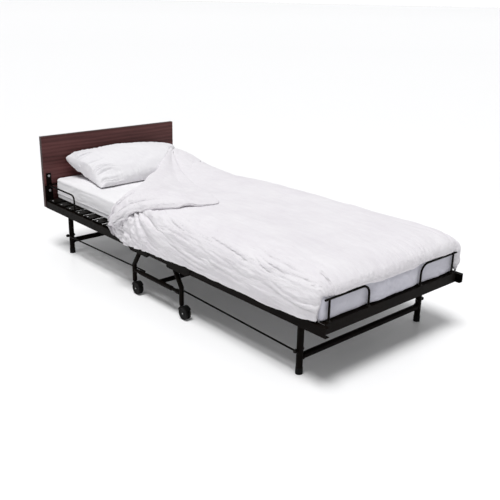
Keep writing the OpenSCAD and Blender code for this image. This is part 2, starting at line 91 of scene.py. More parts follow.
def lattice(ix, iy, seed):
    """A fixed value from 0 to 1 for each lattice point."""
    h = np.sin(ix * 127.1 + iy * 311.7 + seed * 74.7) * 43758.5453
    return h - np.floor(h)


def value_noise(u, v, seed):
    """Smooth noise from -1 to 1 on a unit lattice."""
    iu, iv = np.floor(u), np.floor(v)
    fu, fv = u - iu, v - iv
    su, sv = fu * fu * fu * (fu * (fu * 6 - 15) + 10), fv * fv * fv * (fv * (fv * 6 - 15) + 10)
    low = mix(lattice(iu, iv, seed), lattice(iu + 1, iv, seed), su)
    high = mix(lattice(iu, iv + 1, seed), lattice(iu + 1, iv + 1, seed), su)
    return 2 * mix(low, high, sv) - 1


def fractal(u, v, seed, octaves=3, gain=0.5):
    """Value noise summed over octaves, from -1 to 1."""
    total, size, weight = 0.0, 1.0, 0.0
    for k in range(octaves):
        total = total + size * value_noise(u * 2**k, v * 2**k, seed + 11 * k)
        weight += size
        size *= gain
    return total / weight


def creases(u, v, seed, sharp=2.0):
    """Ridges like those of crumpled cloth, from 0 to 1, wandering and never straight."""
    wu = u + 0.6 * value_noise(u * 0.7, v * 0.7, seed + 5)
    wv = v + 0.6 * value_noise(u * 0.7, v * 0.7, seed + 9)
    return (1 - np.abs(fractal(wu, wv, seed, 2))) ** sharp


def add_object(name, data):
    """A new object in the scene."""
    obj = bpy.data.objects.new(name, data)
    bpy.context.scene.collection.objects.link(obj)
    return obj


def points_of(mesh):
    return np.array([v.co for v in mesh.vertices], float)


def move_points(mesh, p):
    mesh.vertices.foreach_set("co", p.astype(np.float32).ravel())
    mesh.update()


def new_object(name, verts, faces):
    """A smooth-shaded mesh object from points and faces."""
    mesh = bpy.data.meshes.new(name)
    mesh.from_pydata(np.asarray(verts, float).tolist(), [], [list(map(int, f)) for f in faces])
    mesh.update()
    mesh.polygons.foreach_set("use_smooth", [True] * len(mesh.polygons))
    return add_object(name, mesh)


def outward(obj):
    """Turns every face of a closed mesh outward."""
    bm = bmesh.new()
    bm.from_mesh(obj.data)
    bmesh.ops.recalc_face_normals(bm, faces=bm.faces)
    bm.to_mesh(obj.data)
    bm.free()
    return obj


def keep_rest(obj):
    """Stores where each point rests and how crinkled it is there, for cloth that bends."""
    count = len(obj.data.vertices)
    co = np.zeros(count * 3, np.float32)
    obj.data.vertices.foreach_get("co", co)
    attribute = obj.data.attributes.new("rest", "FLOAT_VECTOR", "POINT")
    attribute.data.foreach_set("vector", co)
    normals = np.zeros(count * 3, np.float32)
    obj.data.vertex_normals.foreach_get("vector", normals)
    crinkle = 1 - 0.82 * smoothstep(0.55, 0.92, normals.reshape(-1, 3)[:, 2])
    attribute = obj.data.attributes.new("crinkle", "FLOAT", "POINT")
    attribute.data.foreach_set("value", crinkle.astype(np.float32))
    return obj


def apply_modifiers(obj):
    """Makes the mesh what its modifiers show."""
    depsgraph = bpy.context.evaluated_depsgraph_get()
    mesh = bpy.data.meshes.new_from_object(obj.evaluated_get(depsgraph))
    obj.modifiers.clear()
    obj.data = mesh
    mesh.polygons.foreach_set("use_smooth", [True] * len(mesh.polygons))
    return obj


def grid_faces(nu, nv, start=0, flip=False):
    """Faces of a grid whose points run v first."""
    faces = []
    for i in range(nu - 1):
        for j in range(nv - 1):
            a = start + i * nv + j
            quad = (a, a + 1, a + nv + 1, a + nv)
            faces.append(quad[::-1] if flip else quad)
    return faces


def grid_rim(nu, nv):
    """Index pairs of a grid's edge points, once round."""
    rim = [(i, 0) for i in range(nu)] + [(nu - 1, j) for j in range(1, nv)]
    return rim + [(i, nv - 1) for i in range(nu - 2, -1, -1)] + [(0, j) for j in range(nv - 2, 0, -1)]


def ring_faces(one, two):
    """Faces that join two closed rings of points."""
    following = [(k + 1) % len(one) for k in range(len(one))]
    return [(one[k], one[m], two[m], two[k]) for k, m in enumerate(following)]


def closed_grids(nu, nv):
    """Faces of two grids, one behind the other, joined all round their edges."""
    count = nu * nv
    flat = [i * nv + j for i, j in grid_rim(nu, nv)]
    faces = grid_faces(nu, nv) + grid_faces(nu, nv, count, flip=True)
    return faces + ring_faces(flat, [f + count for f in flat])


def grid_normals(p):
    """Unit normals of a grid of points, shaped (nu, nv, 3)."""
    n = np.cross(np.gradient(p, axis=0), np.gradient(p, axis=1))
    return n / np.maximum(np.linalg.norm(n, axis=2, keepdims=True), 1e-12)


def split_at(obj, name_low, name_high, y):
    """Cuts a closed mesh across at y into two closed pieces, whose cut faces meet."""
    halves = []
    for name, side in ((name_low, 1), (name_high, -1)):
        bm = bmesh.new()
        bm.from_mesh(obj.data)
        geometry = bm.verts[:] + bm.edges[:] + bm.faces[:]
        cut = bmesh.ops.bisect_plane(
            bm, geom=geometry, plane_co=(0, y, 0), plane_no=(0, side, 0), clear_outer=True
        )
        edges = [e for e in cut["geom_cut"] if isinstance(e, bmesh.types.BMEdge)]
        bmesh.ops.holes_fill(bm, edges=edges)
        for e in edges:
            e.smooth = False
        bmesh.ops.recalc_face_normals(bm, faces=bm.faces)
        mesh = bpy.data.meshes.new(name)
        bm.to_mesh(mesh)
        bm.free()
        halves.append(add_object(name, mesh))
    bpy.data.objects.remove(obj)
    return halves


# ---------------------------------------------------------------- materials


class Nodes:
    """A node tree, and short ways to add to it."""

    def __init__(self, tree):
        self.tree = tree

    def link(self, a, b):
        self.tree.links.new(a, b)

    def node(self, kind, **settings):
        made = self.tree.nodes.new(kind)
        for key, value in settings.items():
            setattr(made, key, value)
        return made

    def span(self, fac, low, high, out_low=0.0, out_high=1.0):
        made = self.node("ShaderNodeMapRange")
        for key, value in zip(("From Min", "From Max", "To Min", "To Max"), (low, high, out_low, out_high)):
            made.inputs[key].default_value = value
        self.link(fac, made.inputs["Value"])
        return made.outputs["Result"]

    def math(self, operation, a, b):
        made = self.node("ShaderNodeMath", operation=operation)
        for socket, value in zip(made.inputs, (a, b)):
            if isinstance(value, (int, float)):
                socket.default_value = value
            else:
                self.link(value, socket)
        return made.outputs["Value"]


class Finish(Nodes):
    """A procedural material: one Principled shader and the nodes that feed it."""

    def __init__(self, name, color, roughness, **sockets):
        self.material = bpy.data.materials.new(name)
        self.material.use_nodes = True
        super().__init__(self.material.node_tree)
        self.shader = self.tree.nodes["Principled BSDF"]
        self.shader.inputs["Base Color"].default_value = (*color, 1)
        self.shader.inputs["Roughness"].default_value = roughness
        for key, value in sockets.items():
            self.shader.inputs[key.replace("_", " ")].default_value = value

    def place(self, scale=(1, 1, 1), turn=(0, 0, 0), rest=False):
        """Coordinates fixed to the piece, in metres times scale."""
        if rest:
            source = self.node("ShaderNodeAttribute", attribute_name="rest").outputs["Vector"]
        else:
            source = self.node("ShaderNodeTexCoord").outputs["Object"]
        mapping = self.node("ShaderNodeMapping")
        mapping.inputs["Scale"].default_value = scale
        mapping.inputs["Rotation"].default_value = turn
        self.link(source, mapping.inputs["Vector"])
        return mapping.outputs["Vector"]

    def noise(self, vector, scale, detail=3.0, roughness=0.5, distortion=0.0):
        made = self.node("ShaderNodeTexNoise")
        for key, value in (("Scale", scale), ("Detail", detail), ("Roughness", roughness)):
            made.inputs[key].default_value = value
        made.inputs["Distortion"].default_value = distortion
        self.link(vector, made.inputs["Vector"])
        return made.outputs["Fac"]

    def wave(self, vector, scale, distortion=0.0, direction="X", detail=2.0):
        made = self.node("ShaderNodeTexWave", bands_direction=direction)
        made.inputs["Scale"].default_value = scale
        made.inputs["Distortion"].default_value = distortion
        made.inputs["Detail"].default_value = detail
        self.link(vector, made.inputs["Vector"])
        return made.outputs["Fac"]

    def ramp(self, fac, stops):
        made = self.node("ShaderNodeValToRGB")
        elements = made.color_ramp.elements
        while len(elements) < len(stops):
            elements.new(0.5)
        for element, (position, color) in zip(elements, stops):
            element.position = position
            element.color = (*color, 1)
        self.link(fac, made.inputs["Fac"])
        return made.outputs["Color"]

    def blend_color(self, fac, a, b):
        made = self.node("ShaderNodeMix", data_type="RGBA")
        self.link(fac, made.inputs["Factor"])
        for socket, value in ((made.inputs[6], a), (made.inputs[7], b)):
            if isinstance(value, tuple):
                socket.default_value = (*value, 1)
            else:
                self.link(value, socket)
        return made.outputs[2]

    def color(self, socket):
        self.link(socket, self.shader.inputs["Base Color"])

    def roughness(self, socket):
        self.link(socket, self.shader.inputs["Roughness"])

    def bump(self, height, distance, strength=1.0):
        made = self.node("ShaderNodeBump")
        made.inputs["Distance"].default_value = distance
        made.inputs["Strength"].default_value = strength
        previous = self.shader.inputs["Normal"]
        if previous.is_linked:
            self.link(previous.links[0].from_socket, made.inputs["Normal"])
        self.link(height, made.inputs["Height"])
        self.link(made.outputs["Normal"], previous)


def paint_finish(name, dark, light, roughness):
    """Black powder coat: fine orange peel, faint cloudiness and rubbed spots."""
    m = Finish(name, dark, roughness, Specular_IOR_Level=0.035)
    at = m.place()
    cloud = m.noise(at, 9, 4, 0.6)
    rubbed = m.span(m.noise(at, 26, 6, 0.7), 0.60, 0.74)
    base = m.blend_color(m.span(cloud, 0.3, 0.7), dark, light)
    worn = tuple(1.6 * c + 0.002 for c in light)
    m.color(m.blend_color(m.math("MULTIPLY", rubbed, 0.35), base, worn))
    m.roughness(m.span(m.noise(at, 60, 3), 0.3, 0.7, roughness - 0.07, roughness + 0.09))
    m.bump(m.noise(at, 900, 2), 0.00012, 0.6)
    return m.material


def metal_finish():
    """Zinc-plated steel of bolts, pins and nuts."""
    m = Finish("zinc plate", (0.42, 0.42, 0.43), 0.34, Metallic=1.0)
    at = m.place()
    m.color(m.ramp(m.noise(at, 70, 5, 0.65), [(0.3, (0.30, 0.30, 0.31)), (0.7, (0.55, 0.55, 0.55))]))
    m.roughness(m.span(m.noise(at, 220, 4), 0.3, 0.7, 0.24, 0.48))
    m.bump(m.noise(at, 1500, 2), 0.00005, 0.6)
    return m.material


def rubber_finish(name, color, roughness):
    """Moulded black rubber or nylon with dust in its pores."""
    m = Finish(name, color, roughness, Specular_IOR_Level=0.07)
    at = m.place()
    dust = m.span(m.noise(at, 45, 6, 0.7), 0.55, 0.8)
    m.color(m.blend_color(m.math("MULTIPLY", dust, 0.22), color, (0.030, 0.028, 0.025)))
    m.roughness(m.span(m.noise(at, 130, 4), 0.3, 0.7, roughness - 0.08, roughness + 0.1))
    m.bump(m.noise(at, 1300, 3), 0.0001, 0.6)
    return m.material


def board_finish():
    """Mahogany laminate: straight grain across the board, pores, and a plain band on its edges."""
    m = Finish("mahogany laminate", (0.110, 0.036, 0.033), 0.40, Specular_IOR_Level=0.24)
    broad = m.noise(m.place((0.40, 1, 5.0)), 3.2, 4, 0.55, 0.5)
    bands = m.wave(m.place((0.10, 1, 1)), 16.0, 7.0, "Z", 3.0)
    fine = m.noise(m.place((0.9, 1, 46)), 9, 6, 0.62, 0.2)
    streak = m.math("ADD", m.math("MULTIPLY", broad, 0.62), m.math("MULTIPLY", bands, 0.10))
    grain = m.math("ADD", streak, m.math("MULTIPLY", fine, 0.34))
    stops = [
        (0.34, (0.046, 0.0130, 0.0120)),
        (0.50, (0.094, 0.0300, 0.0280)),
        (0.64, (0.150, 0.052, 0.050)),
        (0.80, (0.200, 0.082, 0.078)),
    ]
    pores = m.span(m.noise(m.place((9, 1, 260)), 6, 2, 0.5), 0.60, 0.70)
    tone = m.blend_color(m.math("MULTIPLY", pores, 0.40), m.ramp(grain, stops), (0.022, 0.008, 0.007))
    facing = m.node("ShaderNodeSeparateXYZ")
    m.link(m.node("ShaderNodeTexCoord").outputs["Normal"], facing.inputs["Vector"])
    face = m.span(m.math("ABSOLUTE", facing.outputs["Y"], 0.0), 0.6, 0.9)
    m.color(m.blend_color(face, (0.034, 0.012, 0.011), tone))
    m.roughness(m.span(fine, 0.3, 0.7, 0.34, 0.50))
    m.bump(pores, 0.00012, -0.5)
    m.bump(fine, 0.00015, 0.35)
    return m.material


def cloth_finish(name, low, high, crinkle, thread):
    """White cotton: a plain weave, fine lengthwise crinkle as of seersucker, and soft mottling."""
    m = Finish(name, high, 0.88, Sheen_Weight=0.12, Sheen_Roughness=0.5, Specular_IOR_Level=0.2)
    mottled = m.noise(m.place(rest=True), 5.5, 4, 0.6)
    rows = m.noise(m.place((1, 0.16, 1), (0, 0, 0.12), rest=True), 74, 3, 0.6, 0.6)
    both = m.math("ADD", m.math("MULTIPLY", mottled, 0.6), m.math("MULTIPLY", rows, 0.4))
    m.color(m.ramp(both, [(0.32, low), (0.62, high)]))
    m.roughness(m.span(rows, 0.3, 0.7, 0.8, 0.95))
    crinkled = m.node("ShaderNodeAttribute", attribute_name="crinkle").outputs["Fac"]
    m.bump(m.math("MULTIPLY", rows, crinkled), crinkle, 1.0)
    pucker = m.noise(m.place((1, 0.42, 1), (0, 0, 0.35), rest=True), 120, 3, 0.6, 1.0)
    m.bump(m.math("MULTIPLY", pucker, crinkled), crinkle * 0.35, 0.8)
    coarse = m.noise(m.place((1, 0.30, 1), (0, 0, -0.25), rest=True), 24, 3, 0.5, 1.4)
    m.bump(m.math("MULTIPLY", coarse, crinkled), crinkle * 2.4, 0.8)
    weave = m.math(
        "ADD",
        m.wave(m.place(rest=True), thread, 0.4, "X", 0.0),
        m.wave(m.place(rest=True), thread, 0.4, "Y", 0.0),
    )
    m.bump(weave, 0.00006, 0.5)
    return m.material


PAINT = paint_finish("black powder coat", (0.0026, 0.0017, 0.0012), (0.0056, 0.0037, 0.0026), 0.42)
SLAT_PAINT = paint_finish("slat coat", (0.0050, 0.0044, 0.0038), (0.0095, 0.0082, 0.0070), 0.38)
BLACK_ZINC = paint_finish("black fastener", (0.010, 0.009, 0.008), (0.020, 0.018, 0.016), 0.33)
ZINC = metal_finish()
RUBBER = rubber_finish("black rubber", (0.006, 0.006, 0.006), 0.62)
NYLON = rubber_finish("caster nylon", (0.006, 0.0058, 0.0056), 0.36)
TREAD = rubber_finish("wheel tread", (0.008, 0.0076, 0.0076), 0.45)
BOARD = board_finish()
QUILT = cloth_finish("quilt cotton", (0.742, 0.714, 0.750), (0.810, 0.791, 0.816), 0.0030, 900)
# the tucked foot end is the quilt's white cotton painted darker and bluer: painted shade where it lies in
# shadow behind the hoops
SHADED_TUCK_COTTON = cloth_finish("tucked cotton in painted shade", (0.58, 0.575, 0.645), (0.66, 0.655, 0.72), 0.0010, 900)
SHEET = cloth_finish("fitted sheet cotton", (0.79, 0.78, 0.80), (0.85, 0.84, 0.855), 0.0008, 1100)
PILLOWCASE = cloth_finish("pillowcase cotton", (0.765, 0.75, 0.78), (0.825, 0.815, 0.835), 0.0010, 1000)


def finish_of(node):
    """The finish of a metal, rubber or board node, by its name."""
    if node == "headboard":
        return BOARD
    if "wheel" in node:
        return TREAD
    if "fork" in node:
        return NYLON
    if node in ("head_leg_feet", "foot_leg_feet", "caster_sockets"):
        return RUBBER
    if node == "headboard_bolts" or "axle" in node:
        return ZINC
    if any(word in node for word in ("bolts", "pivots", "nuts")):
        return BLACK_ZINC
    return SLAT_PAINT if "slats" in node else PAINT


SOFT_NODES = ("mattress_", "quilt_", "pillow")
for name, obj in NODES.items():
    if not name.startswith(SOFT_NODES):
        obj.data.materials.clear()
        obj.data.materials.append(finish_of(name))

# ---------------------------------------------------------------- places, from the frame

FOLD_Y = (JOINTS["head_fold"]["pos_m"][1] + JOINTS["foot_fold"]["pos_m"][1]) / 2
PIVOT_Y = {"head": JOINTS["head_fold"]["pos_m"][1], "foot": JOINTS["foot_fold"]["pos_m"][1]}
SLAT_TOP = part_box("head_slats")[1].z
RAIL_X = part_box("hinge_brackets")[1].x
BED_LOW, BED_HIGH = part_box("mattress_head")
BED_FOOT_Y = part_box("mattress_foot")[0].y
BED_TOP = BED_HIGH.z
GUARD_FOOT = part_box("foot_guard_left")
GUARD_FOOT_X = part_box("foot_guard_right")[1].x
HOOP_IN, HOOP_OUT = 0.150, 0.355                 # the foot hoops' posts
RAIL_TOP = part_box("head_rail_right")[1].z
BOARD_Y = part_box("headboard")[0].y
PILLOW_X, PILLOW_Y = 0.040, 0.772
RIVET_X = 0.384


def follow_fold(obj):
    """Bakes a piece of bedding's transform into its mesh."""
    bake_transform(obj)


# ---------------------------------------------------------------- mattress


def mattress():
    """A foam block in a fitted sheet: rounded edges, a seam low on its sides, soft dents."""
    side_radius, top_radius, bottom_radius = 0.021, 0.026, 0.014
    seam_z, belly = -0.027, 0.0035
    half_x, low_y, high_y = BED_HIGH.x, BED_FOOT_Y + 0.028, BED_HIGH.y + 0.0025
    low_z, high_z = BED_LOW.z + 0.0005, BED_TOP - 0.0008
    half_y, mid_y = (high_y - low_y) / 2, (high_y + low_y) / 2
    half_z, mid_z = (high_z - low_z) / 2, (high_z + low_z) / 2
    counts = (72, 190, 34)
    bm = bmesh.new()
    axes = [np.linspace(-1, 1, n + 1) for n in counts]
    index = {}

    def vertex(i, j, k):
        if (i, j, k) not in index:
            index[i, j, k] = bm.verts.new((axes[0][i], axes[1][j], axes[2][k]))
        return index[i, j, k]

    for fixed in range(3):
        u, v = [a for a in range(3) if a != fixed]
        for level in (0, counts[fixed]):
            for a in range(counts[u]):
                for b in range(counts[v]):
                    corners = []
                    for da, db in ((0, 0), (1, 0), (1, 1), (0, 1)):
                        place = [0, 0, 0]
                        place[fixed], place[u], place[v] = level, a + da, b + db
                        corners.append(vertex(*place))
                    bm.faces.new(corners)
    bmesh.ops.recalc_face_normals(bm, faces=bm.faces)
    mesh = bpy.data.meshes.new("mattress")
    bm.to_mesh(mesh)
    bm.free()
    unit = points_of(mesh)
    half = np.array([half_x, half_y, half_z])
    p = unit * half
    edge = np.where(unit[:, 2:3] > 0, top_radius, bottom_radius)
    upright = np.full_like(edge, side_radius)
    radius = np.hstack([upright, upright, edge])
    inner = np.clip(p, -(half - radius), half - radius)
    away = (p - inner) / radius
    length = np.maximum(np.linalg.norm(away, axis=1, keepdims=True), 1e-9)
    normal = away / length
    p = inner + radius * away / np.maximum(length, 1.0)
    x, y, z = p.T
    side = smoothstep(0.5, 0.95, 1 - np.abs(normal[:, 2]))
    top = smoothstep(0.5, 0.95, normal[:, 2])
    round_way = np.where(np.abs(normal[:, 0]) > 0.6, y, x)
    swell = side * (belly * (1 - (z / half_z) ** 2) - belly)
    pull = -0.0022 * side * creases(round_way * 9, z * 26 + round_way * 5, 3, 3.0)
    wander = 3 * value_noise(round_way * 30, z * 0, 8)
    gathers = 0.5 + 0.5 * np.sin(round_way * 420 + wander)
    gathers = -0.0016 * side * smoothstep(0.0, -0.04, z) * gathers
    seam = side * (0.0022 * bell(seam_z, 0.0026, z) - 0.0016 * bell(seam_z - 0.006, 0.003, z))
    dents = -0.0032 * top * (0.5 + 0.5 * fractal(x * 5, y * 3.2, 21, 3))
    dents = dents - 0.0014 * top * creases(x * 8, y * 8, 31, 4.0)
    p = p + normal * (swell + pull + gathers + seam + dents)[:, None]
    p[:, 2] += mid_z
    p[:, 1] += mid_y
    # the underside arches over the hinges on both sides of the fold
    arch = bell(PIVOT_Y["head"] + 0.055, 0.07, p[:, 1]) + bell(PIVOT_Y["foot"] - 0.055, 0.07, p[:, 1])
    p[:, 2] += 0.015 * arch * smoothstep(mid_z, low_z + 0.01, p[:, 2])
    move_points(mesh, p)
    mesh.polygons.foreach_set("use_smooth", [True] * len(mesh.polygons))
    obj = keep_rest(add_object("mattress", mesh))
    low, high = split_at(obj, "mattress_foot_half", "mattress_head_half", FOLD_Y)
    for half_piece in (low, high):
        half_piece.data.materials.append(SHEET)
    follow_fold(low)
    follow_fold(high)
    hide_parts("mattress_foot")
    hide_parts("mattress_head", "mattress_middle")


# ---------------------------------------------------------------- quilt

FLAT_X = 0.250                     # half width of the quilt's flat top
FLAT_Y = -0.800                    # where its foot end starts to round over
SIDE_RUN = 0.250                   # cloth from there to the hem
CORNER = (0.55, 0.43)              # under 1, the near and far foot corners are squarer than a circle
SHOULDER, ROLL = 0.66, 0.62        # share of that run taken by the side's shoulder, by the foot's roll
QUILT_SIDE_X = RAIL_X + 0.012
QUILT_FOOT_Y = GUARD_FOOT[0].y - 0.006
# how high its folds stand: streaks down the sides, the fan and the bunch by the turned-back corner,
# ripples round the foot roll, dents on the top, and folds drawn over the pillow
LONG_STREAK, FINE_STREAK, BROAD_STREAK = 0.0072, 0.0046, 0.0070
FAN, BUNCH, CROSS_BUNCH = 0.0060, 0.013, 0.010
RIPPLE, ROLL_DENT, TOP_DENT, TOP_RIPPLE, DRAWN = 0.0054, 0.0030, 0.0022, 0.0007, 0.010
# heights of the quilt's top along the bed, above the mattress, by its near and far side
NEAR_TOP = [
    (-0.95, 0.036), (-0.80, 0.050), (-0.50, 0.057), (-0.10, 0.056),
    (0.10, 0.046), (0.30, 0.034), (0.60, 0.034), (0.90, 0.034),
]
FAR_TOP = [
    (-0.95, 0.047), (-0.80, 0.058), (-0.54, 0.062), (-0.16, 0.058), (0.11, 0.050), (0.25, 0.042),
    (0.38, 0.038), (0.48, 0.043), (0.58, 0.050), (0.68, 0.066), (0.78, 0.083), (0.90, 0.092),
]
# heights of the hanging hems along the bed, above the floor
NEAR_HEM = [
    (-0.82, 0.250), (-0.70, 0.243), (-0.59, 0.243), (-0.47, 0.241), (-0.33, 0.243), (-0.20, 0.243),
    (-0.08, 0.238), (0.08, 0.230), (0.20, 0.225), (0.27, 0.243), (0.32, 0.262),
]
FAR_HEM = [
    (-0.82, 0.248), (-0.60, 0.240), (-0.30, 0.244), (0.10, 0.238), (0.40, 0.245),
    (0.52, 0.268), (0.66, 0.318), (0.78, 0.350), (0.88, 0.366),
]


def top_height(x, y):
    """Height of the quilt's top: full by the far edge and over the pillow, flatter by the near edge."""
    far = smoothstep(-0.15, 0.25, x)
    z = BED_TOP + mix(through(NEAR_TOP, y), through(FAR_TOP, y), far)
    z = z + 0.006 * fractal(x * 4.0 + 1.3, y * 2.2, 41, 3)
    return z + 0.0035 * (creases(x * 3.4 + y * 0.8, y * 2.6 - x, 47, 2.0) - 0.5)


def quilt_surface(a, b):
    """The quilt's outer surface. a runs across the cloth from hem to hem and b along it."""
    a, b = np.broadcast_arrays(np.asarray(a, float), np.asarray(b, float))
    across = np.maximum(np.abs(a) - FLAT_X, 0) / SIDE_RUN
    endways = np.maximum(FLAT_Y - b, 0) / SIDE_RUN
    t = np.maximum(across, endways)
    low, high = np.minimum(across, endways), np.maximum(t, 1e-9)
    share = low / high * (math.pi / 4)
    turn = np.where(endways <= across, share, math.pi / 2 - share)
    turn = np.where(t > 1e-9, turn, 0.0)
    near = np.where(a < 0, 1.0, 0.0)
    foot = mix(
        smoothstep(math.radians(46), math.radians(62), turn),
        smoothstep(math.radians(38), math.radians(52), turn), near,
    ) * (t > 0)
    side_of = np.where(a < 0, -1.0, 1.0)
    y_here = np.clip(b, FLAT_Y, 1.0)
    hem = np.where(a < 0, through(NEAR_HEM, y_here), through(FAR_HEM, y_here))
    drooped = smoothstep(math.radians(6), math.radians(24), turn)
    hem = hem + 0.006 * drooped + 0.0022 * fractal(b * 22, side_of, 151, 2) * (1 - drooped)
    z_top = top_height(np.clip(a, -FLAT_X - 0.1, FLAT_X + 0.1), y_here)
    lifted = smoothstep(0.56, 0.72, y_here) * (a > 0)
    # down the sides: a full soft shoulder, then a hanging edge
    s = np.clip(t / SHOULDER, 0, 1) * (math.pi / 2)
    reach = mix(QUILT_SIDE_X, QUILT_SIDE_X - 0.016, lifted) - FLAT_X
    reach = reach + 0.008 * smoothstep(-0.66, -0.80, b) * (a > 0)
    drop = z_top - hem
    shoulder = np.minimum(0.100, drop * 0.6)
    tail = np.clip((t - SHOULDER) / (1 - SHOULDER), 0, 1)
    side_out = reach * np.sin(s) ** 0.92 * (1 - 0.02 * tail) + 0.003 * np.sin(math.pi * tail)
    side_down = shoulder * (1 - np.cos(s) ** 0.86) + tail * (drop - shoulder)
    # over the foot end: a roll that rests on the hoops, sags between them and turns in under itself
    r = np.clip(t / ROLL, 0, 1) * (math.pi / 2)
    under = np.clip((t - ROLL) / (1 - ROLL), 0, 1)
    between = smoothstep(HOOP_IN - 0.002, HOOP_IN - 0.06, np.abs(a))
    foot_reach = FLAT_Y - QUILT_FOOT_Y
    rim = GUARD_FOOT[1].z + 0.014 - 0.006 * between
    foot_out = foot_reach * np.sin(r) ** 0.9 - mix(0.036, 0.042, between) * under**1.3
    turned_in = mix(0.022, 0.034, between) * np.sin(math.pi / 2 * under)
    foot_down = (z_top - rim) * (1 - np.cos(r) ** 0.85) + turned_in
    out = mix(side_out, foot_out, foot)
    down = mix(side_down, foot_down, foot)
    corner = mix(CORNER[1], CORNER[0], near)
    x = np.where(across > 0, side_of * (FLAT_X + out * np.cos(turn) ** corner), a)
    y = np.where(endways > 0, FLAT_Y - out * np.sin(turn) ** corner, b)
    z = z_top - down
    return np.stack([x, y, z], axis=-1)


def pleats(u, v, seed):
    """Soft rounded folds with narrow valleys between, about -0.4 to 0.35, drawn out along v."""
    w = u + 0.5 * value_noise(u * 0.33, v * 1.7, seed + 3)
    ridge = np.sqrt(value_noise(w, v, seed) ** 2 + 0.0016)
    return np.minimum(ridge, 0.7) ** 0.8 - 0.42


def quilt_relief(a, b, p):
    """How far the cloth stands from its smooth shape: broad dents above, fine folds on the sides."""
    down = np.maximum(np.abs(a) - FLAT_X, 0)
    side = smoothstep(-0.035, 0.07, np.abs(a) - FLAT_X)
    foot = smoothstep(FLAT_Y + 0.02, FLAT_Y - 0.09, b)
    near = a < 0
    # the side folds run down towards the foot, and steeper near the turned-back corner
    lean = 0.10 * b + 0.060 * np.logaddexp(0, (b - 0.04) / 0.09)
    u = np.abs(a) + lean
    fine = pleats(u / 0.0085, b / 0.15, 61)
    long = pleats(u / 0.019, b / 0.24, 67)
    broad = fractal(u / 0.075, b / 0.26, 73, 2)
    strength = mix(0.55, 1.0, 0.5 + 0.5 * value_noise(b / 0.17, np.abs(a) / 0.12, 79))
    streaks = side * strength * (LONG_STREAK * long + FINE_STREAK * fine + BROAD_STREAK * broad)
    # folds that fan out from under the turned-back corner
    dx, dy = np.abs(a) - 0.315, 0.17 - b
    r, angle = np.hypot(dx, dy), np.arctan2(dx, dy)
    fan = np.sin(angle * 15 + 2.2 * value_noise(angle * 2.2, r / 0.08, 83))
    fan = FAN * fan * smoothstep(0.0, 0.07, r) * smoothstep(0.36, 0.12, r) * near * (dy > -0.05)
    # crumpling where the cloth bunches at the fold-back
    bunch = bell(0.205, 0.105, b) * smoothstep(0.245, 0.33, np.abs(a)) * near
    swirl = 0.35 * value_noise(a / 0.07, b / 0.07, 191)
    crumple = bunch * (
        BUNCH * pleats((np.abs(a) + 0.7 * b) / 0.016 + swirl, (b - 0.7 * np.abs(a)) / 0.060, 89)
        + CROSS_BUNCH * pleats((np.abs(a) - 0.5 * b) / 0.013, (b + 0.5 * np.abs(a)) / 0.040 + swirl, 97)
    )
    # short upright ripples round the foot roll, stronger towards its far end
    x = p[..., 0]
    ripple = RIPPLE * pleats(x / 0.0092, b / 0.10, 101) * mix(0.45, 1.0, smoothstep(-0.15, 0.2, x))
    ripple = ripple + ROLL_DENT * fractal(x / 0.05, b / 0.09, 103, 2)
    ripple = foot * (1 - 0.85 * smoothstep(-0.950, -0.985, b)) * ripple
    top = TOP_DENT * fractal(a * 9 - b * 1.5, b * 3.0, 107, 3)
    top = top + TOP_RIPPLE * fractal(a * 34 + b * 8, b * 22, 109, 2)
    # folds drawn over the pillow
    hill = bell(0.30, 0.12, a) * bell(0.66, 0.14, b)
    drawn = DRAWN * hill * pleats((a * 0.8 - b * 0.6) / 0.034, (a * 0.6 + b * 0.8) / 0.15, 113)
    hem = smoothstep(0.80, 1.0, down / SIDE_RUN)
    raised = smoothstep(0.42, 0.60, b) * (a > 0)
    return top + drawn + (streaks + fan + crumple) * (1 - 0.25 * hem) * (1 - 0.6 * raised) + ripple


def quilt_points(a, b):
    """Points of the quilt's outer surface with its folds, and its outward normals."""
    p = quilt_surface(a, b)
    n = grid_normals(p)
    if n[n.shape[0] // 2, n.shape[1] // 2, 2] < 0:
        n = -n
    return p + n * quilt_relief(a, b, p)[..., None], n


# the line along which the quilt's near head corner is turned back: across, along
CREASE = [
    (-0.50, 0.262), (-0.45, 0.298), (-0.38, 0.290), (-0.31, 0.286), (-0.25, 0.318), (-0.17, 0.388),
    (-0.09, 0.470), (0.0, 0.532), (0.124, 0.648), (0.200, 0.720), (0.269, 0.800), (0.34, 0.852),
    (0.50, 0.860),
]


